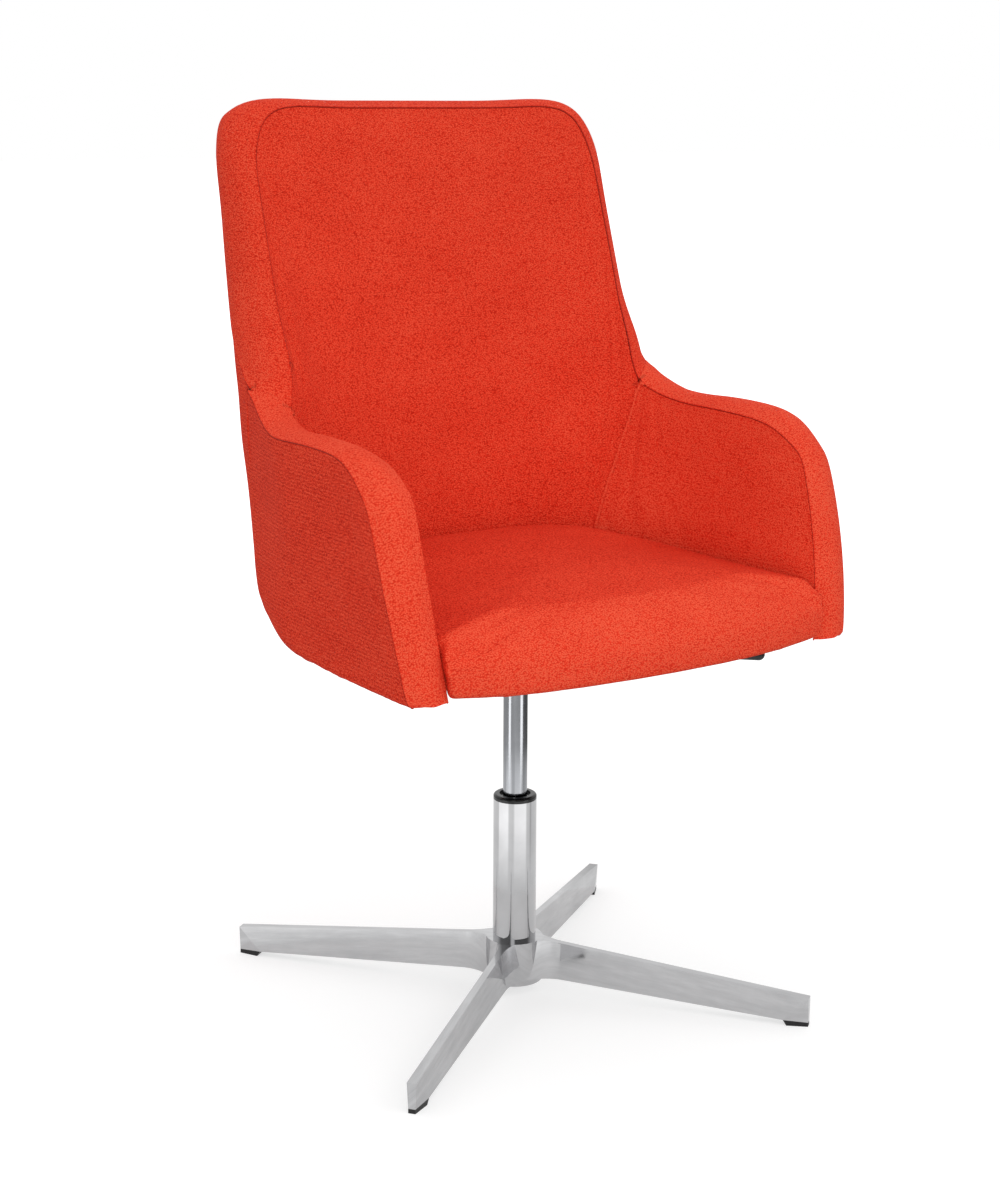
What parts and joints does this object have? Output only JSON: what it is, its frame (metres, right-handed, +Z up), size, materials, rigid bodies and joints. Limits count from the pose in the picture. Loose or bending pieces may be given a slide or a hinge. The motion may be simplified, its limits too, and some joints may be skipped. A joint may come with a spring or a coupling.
{
  "type": "swivel chair",
  "caption": "Upholstered high-back tub chair with arms on a four-star polished swivel base with a gas-lift column.",
  "frame": {"origin": "on the floor under the column's axis, which is also the middle of the foot circle", "axes": "+Z up along the column, -Y towards the sitter's knees, +X to the right seen from the front"},
  "size_m": [0.6028, 0.5546, 1.0221],
  "materials": {
    "cloth": "coarse wool weave",
    "dust_cloth": "non-woven",
    "polished_aluminium": "polished",
    "chromed_tube": "polished",
    "satin_chrome": "satin",
    "steel": "machined",
    "black_steel": "powder coat",
    "bush_plastic": "gloss",
    "pad_plastic": "matt",
    "rubber": "matt",
    "plywood": "raw"
  },
  "bodies": {
    "base": {"star_base": "polished_aluminium", "foot_pad_1": "pad_plastic", "foot_pad_2": "pad_plastic", "foot_pad_3": "pad_plastic", "foot_pad_4": "pad_plastic", "column_tube": "chromed_tube", "guide_bush": "bush_plastic", "bearing_lower": "steel", "bearing_balls": "steel"},
    "rod": {"bearing_upper": "steel", "rod_clip": "steel", "bump_ring": "rubber", "piston_rod": "steel", "piston": "steel"},
    "seat": {"gas_cylinder": "satin_chrome", "rod_guide": "pad_plastic", "seat_plate": "black_steel", "taper_socket": "steel", "lever_bracket": "steel", "seat_bolts": "steel", "seat_board": "plywood", "dust_cover": "dust_cloth", "shell_ply": "plywood", "outside_back": "cloth", "outside_arm_left": "cloth", "outside_arm_right": "cloth", "border_back_roll": "cloth", "border_arm_left": "cloth", "border_arm_right": "cloth", "inside_back": "cloth", "inside_arm_left": "cloth", "inside_arm_right": "cloth", "seat_cushion": "cloth"},
    "lever": {"release_lever": "black_steel", "lever_grip": "pad_plastic"},
    "pin": {"release_pin": "steel"}
  },
  "joints": [
    {"name": "swivel", "type": "hinge", "parent": "base", "child": "rod", "pos_m": [0, 0, 0], "axis": [0, 0, 1], "continuous": true},
    {"name": "lift", "type": "slide", "parent": "rod", "child": "seat", "axis": [0, 0, 1], "range_m": [-0.1, 0]},
    {"name": "lever_rock", "type": "hinge", "parent": "seat", "child": "lever", "pos_m": [0.03195, -0.02407, 0.4361], "axis": [-0.6018, -0.7986, 0], "range_deg": [0, 3.6], "stiffness_Nm_per_rad": 3, "springref_deg": -5.73},
    {"name": "pin_press", "type": "slide", "parent": "seat", "child": "pin", "axis": [0, 0, 1], "range_m": [-0.0029, 0]}
  ],
  "couplings": [
    {"joint": "pin_press", "follows": "lever_rock", "m_per_rad": -0.043}
  ]
}
